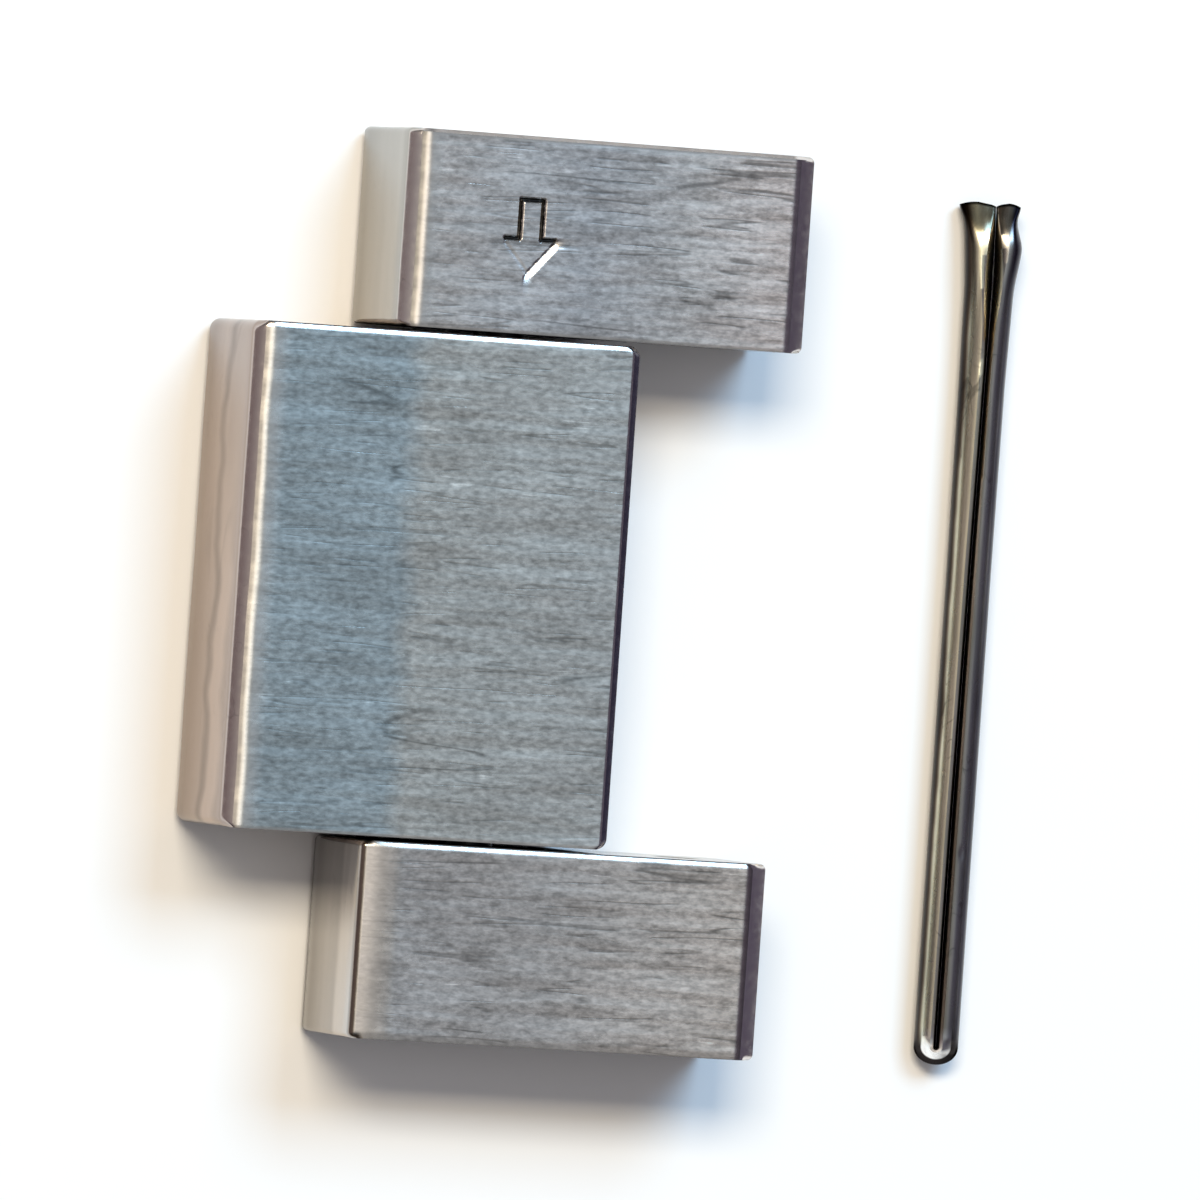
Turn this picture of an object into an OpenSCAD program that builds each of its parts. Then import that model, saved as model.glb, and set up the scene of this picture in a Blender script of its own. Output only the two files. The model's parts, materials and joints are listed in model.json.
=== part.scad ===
// Link of a solid steel watch bracelet, with the split pin that holds it laid beside it.
// The link lies with its wrist side up. X runs along the bracelet, Y runs along
// the pins and Z points up. The origin is at the middle of the whole part, on the table.

/* [Link] */
// Thickness of all three pieces
thickness = 3.4; // [2.8:0.05:4.2]
// Gap between the centre piece and each outer piece
side_gap = 0.1; // [0.06:0.01:0.3]
// Rounding of the long edges of all three pieces
long_round = 0.18; // [0.05:0.01:0.3]

/* [Outer pieces] */
// Length of an outer piece along the bracelet
outer_len = 9.55; // [8.8:0.05:11.5]
// Width of an outer piece across the bracelet
outer_w = 4.35; // [3.6:0.05:5.5]
// Rounding of the left end of an outer piece, seen from the side
outer_left_round = 0.38; // [0.15:0.01:0.7]
// Rounding of the right end of an outer piece, seen from the side
outer_right_round = 0.54; // [0.15:0.01:0.7]
// Rounding of the corners of an outer piece, seen from above
outer_corner = 0.14; // [0.08:0.01:0.3]

/* [Centre piece] */
// Length of the centre piece along the bracelet
centre_len = 9.0; // [8.3:0.05:11]
// Width of the centre piece across the bracelet
centre_w = 11.1; // [8:0.1:14]
// Rounding of the left end of the centre piece, seen from the side
centre_left_round = 0.42; // [0.15:0.01:0.7]
// Rounding of the right end of the centre piece, seen from the side
centre_right_round = 0.19; // [0.08:0.01:0.5]
// Rounding of the corners of the centre piece, seen from above
centre_corner = 0.28; // [0.1:0.01:0.5]

/* [Pivot pin] */
// Radius of the pin that joins the three pieces for good
pivot_r = 0.6; // [0.4:0.01:0.8]
// Running clearance round the pivot pin in the centre piece
pivot_clearance = 0.03; // [0.02:0.005:0.08]
// Depth of the blind hole that grips the pivot pin in each outer piece
pivot_grip = 2.9; // [1.5:0.1:3.3]
// Free depth past each end of the pivot pin
pivot_end_gap = 0.1; // [0.05:0.01:0.3]
// Distance from the left end of the outer pieces to the pivot
pivot_from_outer_end = 3.0; // [2:0.05:4]
// Distance from the right end of the centre piece to the pivot
pivot_from_centre_end = 2.7; // [1.8:0.05:3.6]

/* [Split pin holes] */
// Distance from an open hole to the end of the piece that it goes through
hole_from_end = 1.55; // [1.3:0.05:2]
// Clearance between the split pin and its hole, on the radius
hole_clearance = 0.05; // [0.05:0.01:0.12]
// Width of the countersink at the mouth of each open hole
hole_lead = 0.1; // [0.05:0.01:0.2]

/* [Split pin] */
// Radius of the split pin
pin_r = 0.5; // [0.35:0.01:0.65]
// Length of the split pin
pin_len = 19.3; // [15:0.1:20]
// Width of the slit between its two legs
slit_w = 0.12; // [0.06:0.01:0.2]
// Thickness of the folded end, from the end of the slit outwards
fold_wall = 0.35; // [0.2:0.01:0.6]
// Length of the spread tips at the free end
tip_len = 1.7; // [1:0.1:3]
// Length of the sloping faces that cut each tip to a chisel edge
chisel_len = 0.8; // [0.4:0.05:0.95]
// Half height of a leg where its chisel starts
bulge_high = 0.47; // [0.33:0.01:0.65]
// Half height of the chisel edge
chisel_high = 0.15; // [0.08:0.01:0.3]
// Reach of the left leg from the middle of the pin, where its chisel starts
left_bulge_out = 0.6; // [0.52:0.01:0.8]
// Reach of the left leg at its very end
left_tip_out = 0.78; // [0.5:0.01:1]
// Reach of the right leg where its chisel starts
right_bulge_out = 0.67; // [0.52:0.01:0.8]
// Reach of the right leg at its very end
right_tip_out = 0.58; // [0.4:0.01:0.66]
// Distance from the right end of the outer pieces to the split pin
pin_away = 5.4; // [2:0.1:12]
// Distance that the split pin lies back from the middle of the link
pin_back = 0.3; // [-0.5:0.05:0.5]

/* [Arrow] */
// Width of the arrow's shaft
mark_shaft_w = 0.57; // [0.4:0.01:0.9]
// Length of the arrow's shaft
mark_shaft_len = 0.92; // [0.6:0.01:1.3]
// Width of the arrow's head
mark_head_w = 1.27; // [1:0.01:1.6]
// Length of the arrow's head
mark_head_len = 0.95; // [0.6:0.01:1.3]
// Width of the stamped line
mark_line = 0.12; // [0.08:0.01:0.2]
// Depth of the stamped line
mark_depth = 0.08; // [0.04:0.01:0.15]
// Distance of the shoulders of the head in front of the middle of the piece
mark_forward = 0.14; // [-0.3:0.02:0.3]

/* [Hidden] */
$fn = 64;

// How far the part reaches to each side of the pivot, which puts the origin at its middle
pin_reach = max(right_bulge_out, right_tip_out, pin_r);
left_reach = max(centre_len - pivot_from_centre_end, pivot_from_outer_end);
right_reach = outer_len - pivot_from_outer_end + pin_away + pin_reach;
pivot_x = (left_reach - right_reach) / 2;

outer_left = pivot_x - pivot_from_outer_end;
outer_right = outer_left + outer_len;
centre_right = pivot_x + pivot_from_centre_end;
centre_left = centre_right - centre_len;
outer_hole_x = outer_right - hole_from_end;
centre_hole_x = centre_left + hole_from_end;
outer_y = centre_w / 2 + side_gap + outer_w / 2;
mid_z = thickness / 2;
hole_r = pin_r + hole_clearance;
pivot_len = centre_w + 2 * side_gap + 2 * (pivot_grip - pivot_end_gap);
pin_x = outer_right + pin_away;

// How far a cutter reaches past the face that it goes through
past = 1;
// Thickness of the slices that the spread tips are drawn between
slice = 0.02;

// A rectangle with its lower left corner at the origin and a rounding for each end
module rounded_outline(len, wide, left_r, right_r) {
    translate([left_r, 0]) square([len - left_r - right_r, wide]);
    translate([0, left_r]) square([left_r, wide - 2 * left_r]);
    translate([len - right_r, right_r]) square([right_r, wide - 2 * right_r]);
    for (y = [left_r, wide - left_r]) translate([left_r, y]) circle(r = left_r);
    for (y = [right_r, wide - right_r]) translate([len - right_r, y]) circle(r = right_r);
}

// One flat piece of the link, from x = 0, with its width centred on y = 0.
// It is what the side, end and top outlines have in common.
module link_piece(len, wide, left_r, right_r, corner_r) {
    intersection() {
        translate([0, wide / 2 + past, 0]) rotate([90, 0, 0])
            linear_extrude(wide + 2 * past)
            rounded_outline(len, thickness, left_r, right_r);
        translate([-past, -wide / 2, 0]) rotate([90, 0, 90])
            linear_extrude(len + 2 * past)
            rounded_outline(wide, thickness, long_round, long_round);
        translate([0, -wide / 2, -past])
            linear_extrude(thickness + 2 * past)
            rounded_outline(len, wide, corner_r, corner_r);
    }
}

// A cylinder along Y, centred on y = 0
module rod(r, len) {
    rotate([90, 0, 0]) cylinder(r = r, h = len, center = true);
}

// A hole right through a piece along Y, with a countersink at both mouths
module open_hole(wide) {
    rod(hole_r, wide + 2 * past);
    for (side = [-1, 1]) scale([1, side, 1])
        translate([0, wide / 2 - hole_lead, 0]) rotate([-90, 0, 0])
        cylinder(r1 = hole_r, r2 = hole_r + 2 * hole_lead, h = 2 * hole_lead);
}

// One straight stroke of the stamped line, with round ends
module stroke(from, to) {
    run = to - from;
    translate(from) rotate(atan2(run[1], run[0])) {
        translate([0, -mark_line / 2]) square([norm(run), mark_line]);
        circle(d = mark_line);
    }
}

// The outline of an arrow that points along -Y, with its shoulders on y = 0
module arrow_outline() {
    shaft = mark_shaft_w / 2 - mark_line / 2;
    head = mark_head_w / 2 - mark_line / 2;
    top = mark_shaft_len - mark_line / 2;
    points = [
        [-shaft, 0], [-shaft, top], [shaft, top], [shaft, 0],
        [head, 0], [0, -mark_head_len], [-head, 0]
    ];
    for (i = [0 : len(points) - 1]) stroke(points[i], points[(i + 1) % len(points)]);
}

// An outer piece on the side of the link that side gives, 1 or -1
module outer_link(side) {
    difference() {
        translate([outer_left, side * outer_y, 0])
            link_piece(outer_len, outer_w, outer_left_round, outer_right_round, outer_corner);
        translate([outer_hole_x, side * outer_y, mid_z]) open_hole(outer_w);
        translate([pivot_x, side * (centre_w / 2 + side_gap + pivot_grip / 2 - past / 2), mid_z])
            rod(pivot_r, pivot_grip + past);
    }
}

module outer_link_north() {
    color("#8c9296") difference() {
        outer_link(1);
        translate([pivot_x, outer_y - mark_forward, thickness - mark_depth])
            linear_extrude(mark_depth + past) arrow_outline();
    }
}

module outer_link_south() {
    color("#8f8f94") outer_link(-1);
}

module centre_link() {
    color("#7f8d93") difference() {
        translate([centre_left, 0, 0])
            link_piece(centre_len, centre_w, centre_left_round, centre_right_round, centre_corner);
        translate([pivot_x, 0, mid_z]) rod(pivot_r + pivot_clearance, centre_w + 2 * past);
        translate([centre_hole_x, 0, mid_z]) open_hole(centre_w);
    }
}

module pivot_pin() {
    color("#a3a5a8") translate([pivot_x, 0, mid_z]) rod(pivot_r, pivot_len);
}

// A slice of one leg at a distance from the free end, from the slit out to a reach
module leg_slice(back, out, high) {
    translate([0, -back, 0]) rotate([90, 0, 0])
        linear_extrude(slice) intersection() {
            scale([out, high]) circle(r = 1, $fn = 32);
            translate([slit_w / 2, -high]) square([out, 2 * high]);
        }
}

// The spread tip of a leg, right of the slit: a bulge, then two faces that meet in an edge
module leg_tip(bulge_out, tip_out) {
    hull() {
        leg_slice(tip_len, pin_r, pin_r);
        leg_slice(chisel_len, bulge_out, bulge_high);
    }
    hull() {
        leg_slice(chisel_len, bulge_out, bulge_high);
        leg_slice(0, tip_out, chisel_high);
    }
}

// A hairpin of half round wire: two legs side by side, folded at the front end
module split_pin() {
    free_end = pin_len / 2 - pin_back;
    fold_end = free_end - pin_len;
    shank_end = free_end - tip_len;
    color("#6d6a66") translate([pin_x, 0, pin_r]) {
        difference() {
            union() {
                translate([0, (shank_end + fold_end + pin_r) / 2, 0])
                    rod(pin_r, shank_end - fold_end - pin_r);
                translate([0, fold_end + pin_r, 0]) sphere(r = pin_r);
            }
            translate([-slit_w / 2, fold_end + fold_wall, -pin_r - past])
                cube([slit_w, pin_len, 2 * (pin_r + past)]);
        }
        translate([0, free_end, 0]) {
            leg_tip(right_bulge_out, right_tip_out);
            mirror([1, 0, 0]) leg_tip(left_bulge_out, left_tip_out);
        }
    }
}

outer_link_north();
outer_link_south();
centre_link();
pivot_pin();
split_pin();
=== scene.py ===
"""Looks of a steel watch bracelet link and its split pin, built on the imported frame.

Lengths are in millimetres until a mesh, lamp or camera is made, and MM turns them into metres.
X runs along the bracelet, Y along the pins and Z is up, as in the frame.
"""
import json
import math

import bmesh
import bpy
import numpy as np
from mathutils import Matrix, Vector


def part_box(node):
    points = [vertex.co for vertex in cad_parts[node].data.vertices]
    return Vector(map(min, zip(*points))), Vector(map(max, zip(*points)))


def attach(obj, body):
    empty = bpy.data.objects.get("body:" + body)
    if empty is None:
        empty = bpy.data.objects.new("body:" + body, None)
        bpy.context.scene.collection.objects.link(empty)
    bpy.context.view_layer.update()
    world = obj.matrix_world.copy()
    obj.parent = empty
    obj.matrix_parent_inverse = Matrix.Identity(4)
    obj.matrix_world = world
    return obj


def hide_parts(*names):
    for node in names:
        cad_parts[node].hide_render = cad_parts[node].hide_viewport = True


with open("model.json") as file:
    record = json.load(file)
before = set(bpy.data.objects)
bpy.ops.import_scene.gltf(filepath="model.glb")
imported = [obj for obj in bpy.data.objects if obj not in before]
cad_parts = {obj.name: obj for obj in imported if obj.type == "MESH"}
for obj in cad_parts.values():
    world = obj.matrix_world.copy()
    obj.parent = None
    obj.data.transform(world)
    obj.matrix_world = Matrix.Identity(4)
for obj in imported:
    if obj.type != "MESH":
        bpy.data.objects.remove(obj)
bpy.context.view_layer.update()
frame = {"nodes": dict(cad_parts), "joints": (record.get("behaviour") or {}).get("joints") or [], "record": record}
MM = 0.001
LAMP_HEIGHT = 0.6
TABLE_REACH = 4.0


# Sizes that the frame gives

def node_box(node):
    """Lowest and highest corner of a node, in millimetres."""
    low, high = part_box(node)
    return np.array(low) / MM, np.array(high) / MM


def joint_place(name):
    """Place of a joint, in millimetres."""
    joint = next(j for j in frame["joints"] if j["name"] == name)
    return np.array(joint["pos_m"]) / MM


def round_mount(name):
    """Place and radius of a bore or a shank, in millimetres."""
    mount = next(m for m in frame["record"]["mounts"] if m["name"] == name)
    return np.array(mount["pos_m"]) / MM, mount["dims"]["r_mm"]


PIVOT = joint_place("centre_pivot")
LINK_HOLE, HOLE_RADIUS = round_mount("link_pin_bore")
CENTRE_HOLE, _ = round_mount("centre_pin_bore")
PIVOT_RADIUS = (node_box("pivot_pin")[1] - node_box("pivot_pin")[0])[2] / 2

# Sizes of the finish, which the frame doesn't hold
GAP = 0.1
PIVOT_CLEARANCE = 0.03
PIVOT_GRIP = 2.9
MOUTH_ROUND = 0.1
MOUTH_STEPS = 6
BORE_SIDES = 72
CUTTER_PAST = 0.5
MAP_SPAN = 20

# How finely the pieces are divided: steps along an edge, and distances along the flats
ARC_STEPS = 22
SIDE_STEPS = 8
END_STEPS = 8
UNDER_STEPS = 25
FLAT_GRADES = (0.015, 0.05, 0.12, 0.24)
FLAT_STEP = 0.4
STATION_STEP = 0.22
MARK_STEP = 0.02
LEAST_STEP = 0.008

# Tilts, in degrees, up to which a face is brushed, and between which the polish takes over
BRUSHED_TILT = 25.2
STEEP_FROM = 50
STEEP_TO = 65
SHARP_ANGLE = math.radians(35)
PIN_SHARP_ANGLE = math.radians(40)

# A face that looks straight to a side, a point that lies on it, and where a bore's wall begins
SIDE_FACING = 0.9999
SIDE_SKIN = 0.001
BORE_SKIN = 0.02

# Rounding of the corners seen from above, and how far and how fast the left edges wander
OUTER_CORNER = 0.14
CENTRE_CORNER = 0.25
CORNER_REACH = 0.3
OUTER_WAVE = 0.01
CENTRE_WAVE = 0.02
LONG_WAVE = 1.15
SHORT_WAVE = 2.9

# The edges at the ends of the pieces: pairs of a distance walked from the flat and the tilt there
NORTH_LEFT_EDGE = ((0, 0), (0.1, 9), (0.24, 19), (0.64, 55), (0.69, 90))
SOUTH_LEFT_EDGE = (
    (0, 0), (0.2, 6.5), (0.48, 9.1), (0.66, 10.8), (0.74, 11.5), (0.89, 12),
    (0.91, 28), (1.01, 50), (1.05, 90),
)
CENTRE_LEFT_EDGE = ((0, 0), (0.1, 9), (0.24, 19), (0.59, 55), (0.68, 90))
OUTER_RIGHT_EDGE = ((0, 0), (0.1, 14), (0.2, 26), (0.62, 31))
CENTRE_RIGHT_EDGE = ((0, 0), (0.03, 16), (0.07, 27), (0.24, 31))

# The long edges, in the same way. Each ends in a corner to the upright side.
CRISP_EDGE = ((0, 42), (0.1, 42))
BROAD_EDGE = ((0, 0), (0.03, 10), (0.045, 13), (0.11, 22), (0.15, 42))
SLIGHT_EDGE = ((0, 0), (0.02, 6), (0.08, 12))
SOFT_EDGE = ((0, 0), (0.03, 5), (0.17, 8))

# The stamped arrow, which points along -Y, and how far it lies from the pivot and the piece's middle
MARK_SHAFT_HALF = 0.26
MARK_SHAFT_LEN = 0.86
MARK_HEAD_HALF = 0.58
MARK_HEAD_LEN = 0.74
MARK_LEAN = -0.03
MARK_PLACE = (-0.09, -0.09)
MARK_REACH = 1.5

# Its line, its broad right slant and its faint left one. The slants' depths are shares of the line's.
MARK_LINE = 0.11
MARK_DEPTH = 0.08
MARK_BRINK = 1.1
MARK_SLANT = 0.14
MARK_SLANT_BACK = 0.03
MARK_SLANT_DEPTH = 0.62
MARK_FAINT_DEPTH = 0.1

# The split pin. Places along it are distances back from its free end, and reaches are measured out
# from its middle line.
PIN_ROLL = math.radians(20.7)
WIRE_DEPTH = 0.45
WIRE_CORNER = 0.04
WIRE_CUT = math.radians(12)
WIRE_STEPS = 32
INNER_STEPS = 12
FOLD_STEPS = 28
FOLD_REACH = 0.41
EVEN_REACH = 0.25
SLIT_MIDDLE = ((0, 0.05), (1.0, 0.08), (2.0, 0.09), (8, 0.04), (14, 0.01), (19, 0))
SLIT_HALF = (
    (0, 0.012), (0.7, 0.012), (1.2, 0.06), (1.9, 0.07), (2.8, 0.03), (8, 0.035), (14, 0.045), (18, 0.045))
LEFT_REACH = (
    (0, 0.8), (0.25, 0.71), (0.5, 0.65), (1, 0.6), (1.9, 0.54), (4, 0.52), (8, 0.5), (19, 0.5))
RIGHT_REACH = (
    (0, 0.62), (0.5, 0.51), (0.85, 0.71), (1.2, 0.68), (1.9, 0.57), (4, 0.52), (8, 0.5), (19, 0.5))
INNER_ROUND = ((0, 0.16), (1.4, 0.22), (3.5, 0.07), (16, 0.05), (18.4, 0.05), (19, 0.04))
SQUARENESS = ((0, 0.45), (1.4, 0.6), (3, 1), (19, 1))
INNER_CROWN = 0.995

# The groove between its legs: the heights where it is shut and open, the share of its width that stays
# when it is shut, and how far its painted shade reaches up and onto the west and the east leg
GROOVE_FLOOR = -0.1
GROOVE_OPEN = 0.2
GROOVE_SHUT = 0.03
GROOVE_TOP = 0.8
GROOVE_FADE = 0.1
GROOVE_EDGE = (0.04, 0.02)
UNDER_FADE = 0.15

# The chisel tips with the painted shade on their facets and ends, and the fold with its sloping back
TIP_STRETCH = 3
TIP_STEP = 0.04
LEG_STEP = 0.12
CHISEL_LEN = 0.95
CHISEL_EDGE = 0.13
CHISEL_RISE = 0.05
CHISEL_BLEND = 0.13
CHISEL_END = 1.6
CHISEL_SHADE = 0.2
CHISEL_SHADE_GAIN = 1.6
TIP_ARCH = 0.08
TIP_ARCH_LEN = 0.35
TIP_END_SHADE = 0.06
FOLD_STRETCH = 0.6
FOLD_SLOPE = math.tan(math.radians(50))
FOLD_ARMS = 0.45
FOLD_START = 0.2
FOLD_BLEND = 0.35
FOLD_RIM = 0.03
FOLD_THIN = 0.05

# The nick: its place across and along the pin, its reach both ways and its depth
NICK = (0.27, 14.55)
NICK_SIZE = (0.11, 0.14)
NICK_DEPTH = 0.05


# Camera, at the photograph's angle

CAMERA_TILT = math.radians(20.7)
CAMERA_LEAN = math.radians(-0.4)
CAMERA_ROLL = math.radians(3.96)
CAMERA_AIM = Vector((-0.397, -0.076, 1.7))
CAMERA_DISTANCE = 400
VIEW_WIDTH = 26.51
SENSOR = 36


def make_camera():
    """A long lens that looks down at the link from the west."""
    back = Vector((
        -math.sin(CAMERA_TILT) * math.cos(CAMERA_LEAN),
        -math.sin(CAMERA_LEAN),
        math.cos(CAMERA_TILT) * math.cos(CAMERA_LEAN),
    ))
    level = Vector((0, 1, 0)).cross(back).normalized()
    upright = back.cross(level)
    right = level * math.cos(CAMERA_ROLL) + upright * math.sin(CAMERA_ROLL)
    up = upright * math.cos(CAMERA_ROLL) - level * math.sin(CAMERA_ROLL)
    data = bpy.data.cameras.new("camera")
    data.sensor_width = SENSOR
    data.lens = SENSOR * CAMERA_DISTANCE / VIEW_WIDTH
    data.clip_start = 0.01
    data.clip_end = 20
    camera = bpy.data.objects.new("camera", data)
    bpy.context.scene.collection.objects.link(camera)
    turn = Matrix((right, up, back)).transposed().to_4x4()
    camera.matrix_world = Matrix.Translation((CAMERA_AIM + back * CAMERA_DISTANCE) * MM) @ turn
    bpy.context.scene.camera = camera


# Node materials

def linear(colour):
    """A colour as it looks on screen, from 0 to 255, as the shader wants it."""
    shares = [c / 255 for c in colour]
    return [s / 12.92 if s <= 0.04045 else ((s + 0.055) / 1.055) ** 2.4 for s in shares] + [1]


class Nodes:
    """A node tree in the making, with one short call for each kind of node that the finishes need."""

    def __init__(self, tree, shader, coordinates):
        self.tree = tree
        self.shader = tree.nodes[shader]
        self.place = self.add("ShaderNodeTexCoord").outputs[coordinates]

    def add(self, kind, **settings):
        node = self.tree.nodes.new(kind)
        for name, value in settings.items():
            setattr(node, name, value)
        return node

    def put(self, socket, value):
        """Links a value that comes from a node, and sets one that is plain."""
        if isinstance(value, bpy.types.NodeSocket):
            self.tree.links.new(value, socket)
        else:
            socket.default_value = value

    def maths(self, operation, a, b=0.0):
        node = self.add("ShaderNodeMath", operation=operation)
        self.put(node.inputs[0], a)
        self.put(node.inputs[1], b)
        return node.outputs[0]

    def spread(self, value, low, high, to_low=0.0, to_high=1.0, smooth=False):
        node = self.add("ShaderNodeMapRange")
        node.interpolation_type = "SMOOTHSTEP" if smooth else "LINEAR"
        for socket, number in zip(node.inputs, (value, low, high, to_low, to_high)):
            self.put(socket, number)
        return node.outputs[0]

    def times(self, first, *others):
        """The product of several values."""
        for other in others:
            first = self.maths("MULTIPLY", first, other)
        return first

    def plus(self, a, b):
        return self.maths("ADD", a, b)

    def size(self, value):
        return self.maths("ABSOLUTE", value)

    def sway(self, noise, low, high):
        """A noise, stretched so that it runs from one value to another."""
        return self.spread(noise, 0.3, 0.7, low, high)

    def fade(self, share, to):
        """A factor that goes from 1 to another value as a share goes from 0 to 1."""
        return self.spread(share, 0.0, 1.0, 1.0, to)

    def noise(self, per_mm, detail=2.0, rough=0.5, twist=0.0, seed=0.0):
        """Noise with its own grain along X, Y and Z, in grains per millimetre."""
        mapping = self.add("ShaderNodeMapping")
        self.put(mapping.inputs["Vector"], self.place)
        self.put(mapping.inputs["Location"], (seed, seed * 1.7, seed * 0.6))
        self.put(mapping.inputs["Scale"], [n / MM for n in per_mm])
        node = self.add("ShaderNodeTexNoise")
        self.put(node.inputs["Vector"], mapping.outputs[0])
        settings = {"Scale": 1.0, "Detail": detail, "Roughness": rough, "Distortion": twist}
        for name, number in settings.items():
            self.put(node.inputs[name], number)
        return node.outputs["Fac"]

    def lines(self, per_mm, thin, patch_per_mm, share, twist=0.0, seed=0.0):
        """Thin wandering lines, in patches that cover a share of the surface.

        A line runs where a noise crosses its middle.
        """
        ridge = self.noise(per_mm, detail=1.0, twist=twist, seed=seed)
        off = self.size(self.maths("SUBTRACT", ridge, 0.5))
        line = self.spread(off, 0.0, thin, 1.0, 0.0, smooth=True)
        patch = self.noise(patch_per_mm, detail=1.0, seed=seed + 5)
        edge = 0.5 + (0.5 - share) * 0.5
        return self.times(line, self.spread(patch, edge - 0.03, edge + 0.05, smooth=True))

    def axis(self, name, unit=MM):
        split = self.add("ShaderNodeSeparateXYZ")
        self.put(split.inputs[0], self.place)
        return self.maths("DIVIDE", split.outputs[name], unit)

    def attribute(self, name):
        return self.add("ShaderNodeAttribute", attribute_name=name).outputs["Fac"]

    def ramp(self, value, stops):
        """Colours along a value from 0 to 1. Stops are pairs of a place and a screen colour."""
        node = self.add("ShaderNodeValToRGB")
        self.put(node.inputs[0], value)
        marks = node.color_ramp.elements
        while len(marks) < len(stops):
            marks.new(0.5)
        for mark, (place, colour) in zip(marks, stops):
            mark.position = place
            mark.color = linear(colour)
        return node.outputs[0]

    def blend(self, share, a, b):
        node = self.add("ShaderNodeMix", data_type="RGBA")
        self.put(node.inputs[0], share)
        self.put(node.inputs[6], a)
        self.put(node.inputs[7], b)
        return node.outputs[2]

    def shade(self, colour, factor):
        """A colour made lighter or darker by a plain factor that a node gives."""
        node = self.add("ShaderNodeVectorMath", operation="SCALE")
        self.put(node.inputs[0], colour if isinstance(colour, bpy.types.NodeSocket) else colour[:3])
        self.put(node.inputs["Scale"], factor)
        return node.outputs[0]

    def bump(self, height, depth, under=None):
        node = self.add("ShaderNodeBump")
        self.put(node.inputs["Height"], height)
        self.put(node.inputs["Distance"], depth * MM)
        if under is not None:
            self.put(node.inputs["Normal"], under)
        return node.outputs[0]

    def set(self, **values):
        """Sets or links the shader's sockets, by their names with underscores."""
        for name, value in values.items():
            self.put(self.shader.inputs[name.replace("_", " ")], value)


class Finish(Nodes):
    """A material, whose patterns are laid out in the object's own space."""

    def __init__(self, name):
        self.material = bpy.data.materials.new(name)
        self.material.use_nodes = True
        super().__init__(self.material.node_tree, "Principled BSDF", "Object")


def brushed_steel(name, stops, edge, ends, grain, seed):
    """A flat that is brushed along the bracelet, worn smooth at its edges.

    Stops give its tone from its left end to its right end, partly painted reflection, and grain how strong the
    streaks are there.
    """
    f = Finish(name)
    drift = f.sway(f.noise((0.3, 1.2, 0.5), detail=3.0, rough=0.6, seed=seed), -0.22, 0.22)
    share = f.spread(f.plus(f.axis("X"), drift), *ends)
    strong = f.spread(share, 0.0, 1.0, *grain)
    brink = f.spread(f.axis("X"), ends[0] + 0.45, ends[0] + 0.9, 0.5, 0.0, smooth=True)
    worn = f.maths("MAXIMUM", f.attribute("rounded"), brink)
    fresh = f.spread(worn, 0.1, 0.6, 1.0, 0.15)

    grit = f.noise((5.0, 10.0, 3.0), detail=2.0, rough=0.6, seed=seed + 1)
    fine = f.noise((1.1, 10.0, 1.0), detail=3.0, rough=0.6, seed=seed + 2)
    broad = f.noise((0.35, 3.4, 1.0), detail=2.0, rough=0.5, seed=seed + 3)
    cloud = f.noise((0.5, 0.8, 0.5), detail=3.0, rough=0.55, seed=seed + 4)
    dark = f.lines((0.2, 3.6, 0.5), 0.04, (0.8, 2.6, 0.5), 0.45, seed=seed + 5)
    light = f.lines((0.14, 3.2, 0.5), 0.03, (0.9, 2.0, 0.5), 0.12, seed=seed + 10)
    scratch = f.lines((0.1, 0.9, 0.4), 0.016, (0.35, 0.7, 0.5), 0.35, seed=seed + 20)
    ragged = f.sway(f.noise((9.0, 9.0, 9.0), detail=2.0, seed=seed + 12), 0.6, 1.3)
    # Painted shade in the stamped arrow's lines, which darkens them almost to black.
    pressed = f.spread(f.times(f.attribute("struck"), ragged), 0.25, 0.75, smooth=True)

    streak = f.times(f.plus(f.sway(fine, -0.5, 0.5), f.sway(broad, -0.35, 0.35)), strong)
    streak = f.times(f.plus(streak, f.sway(grit, -0.3, 0.3)), fresh)
    factor = f.times(
        f.plus(1.0, streak),
        f.sway(cloud, 0.92, 1.08),
        f.maths("SUBTRACT", 1.0, f.times(dark, fresh, strong, 1.5)),
        f.fade(f.times(scratch, fresh), 0.55),
        f.plus(1.0, f.times(light, fresh, 0.5)),
        f.fade(pressed, 0.05),
    )
    height = f.times(f.plus(fine, f.times(dark, -0.6)), fresh)
    rough = f.times(f.sway(broad, 0.23, 0.31), f.spread(worn, 0.2, 1.0, 1.0, 0.7))
    tangent = f.add("ShaderNodeTangent", direction_type="UV_MAP", uv_map="along")
    f.set(
        Metallic=1.0,
        Base_Color=f.shade(f.blend(worn, f.ramp(share, stops), linear(edge)), factor),
        Roughness=f.maths("MAXIMUM", rough, f.times(pressed, 0.5)),
        Anisotropic=0.5,
        Anisotropic_Rotation=0.25,
        Tangent=tangent.outputs[0],
        Normal=f.bump(height, 0.002),
    )
    return f.material


def gap_painted_shade(f):
    """How far inside the two narrow gaps between the pieces the surface lies, from 0 to 1: the mask of the painted
    shade there.
    """
    west, east = node_box("outer_link_north")[0][0], node_box("centre_link")[1][0]
    side, top = node_box("centre_link")[1][1:]
    x, z = f.axis("X"), f.axis("Z")
    off = f.size(f.maths("SUBTRACT", f.size(f.axis("Y")), side + GAP / 2))
    return f.times(
        f.spread(x, west, west + 0.15),
        f.spread(x, east - 0.15, east, 1.0, 0.0),
        f.spread(z, 0.06, 0.16),
        f.spread(z, top - 0.16, top - 0.06, 1.0, 0.0),
        f.spread(off, 0.08, 0.12, 1.0, 0.0),
    )


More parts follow.
